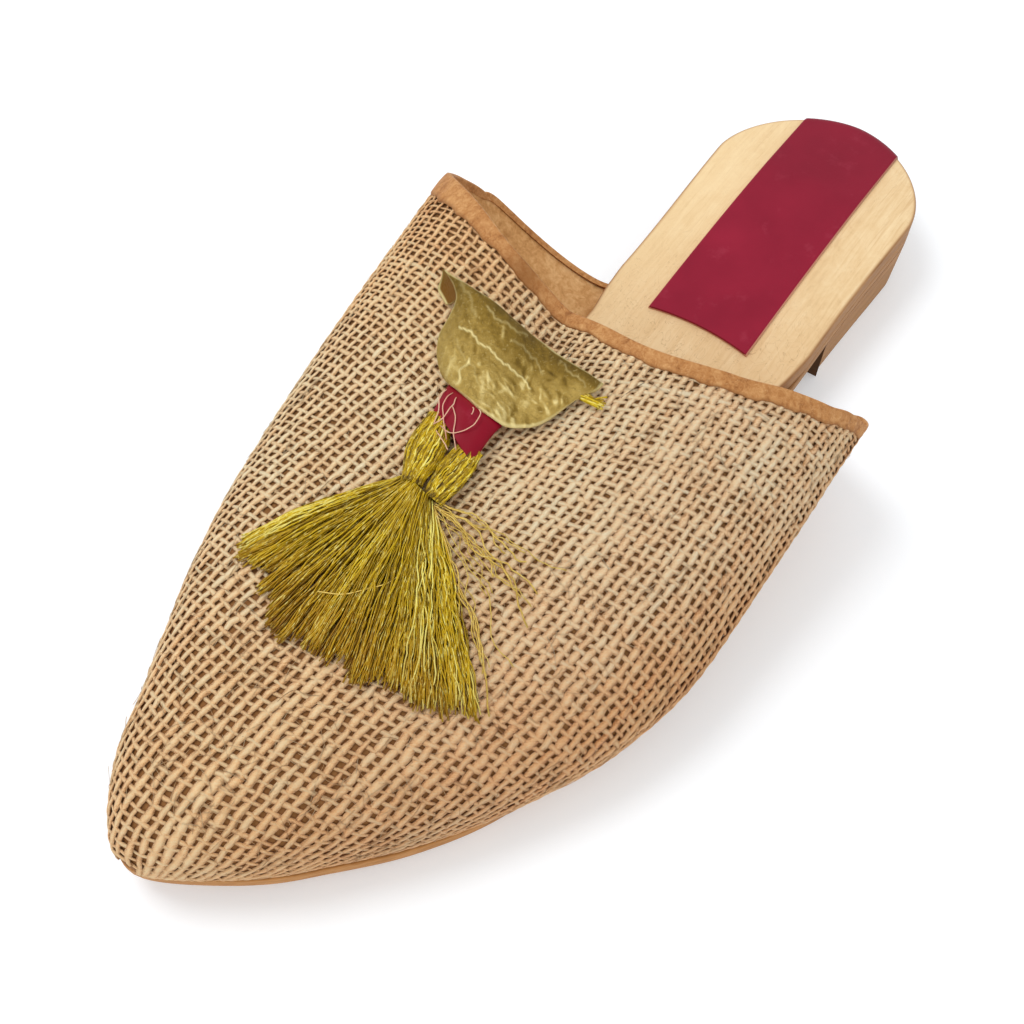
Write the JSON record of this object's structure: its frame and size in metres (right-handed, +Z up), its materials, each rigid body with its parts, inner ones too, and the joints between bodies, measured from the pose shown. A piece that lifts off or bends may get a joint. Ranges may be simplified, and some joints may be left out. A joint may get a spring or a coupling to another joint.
{
  "type": "backless pointed mule shoe",
  "caption": "Left backless flat mule with a pointed woven jute upper, leather-bound V collar, tassel under a metal leaf, wooden footbed and low block heel.",
  "frame": {"origin": "the middle of the bounding box, on the floor", "axes": "+Z up, -Y towards the toe, +X towards the outer side of the foot"},
  "size_m": [0.1144, 0.2657, 0.0614],
  "materials": {
    "outsole": "satin, smooth edge",
    "footbed": "satin, pale close grain",
    "heel_block": "satin, brown layers",
    "upper": "coarse plain weave of natural jute",
    "collar_binding": "matte, lightly wrinkled",
    "heel_strip": "satin crimson",
    "leaf": "hammered, aged",
    "wrap_band": "satin crimson",
    "tassel": "metallic thread"
  },
  "bodies": {
    "root": {"outsole": "outsole", "footbed": "footbed", "heel_block": "heel_block", "upper": "upper", "collar_binding": "collar_binding", "heel_strip": "heel_strip", "leaf": "leaf", "wrap_band": "wrap_band", "tassel": "tassel"}
  },
  "joints": []
}
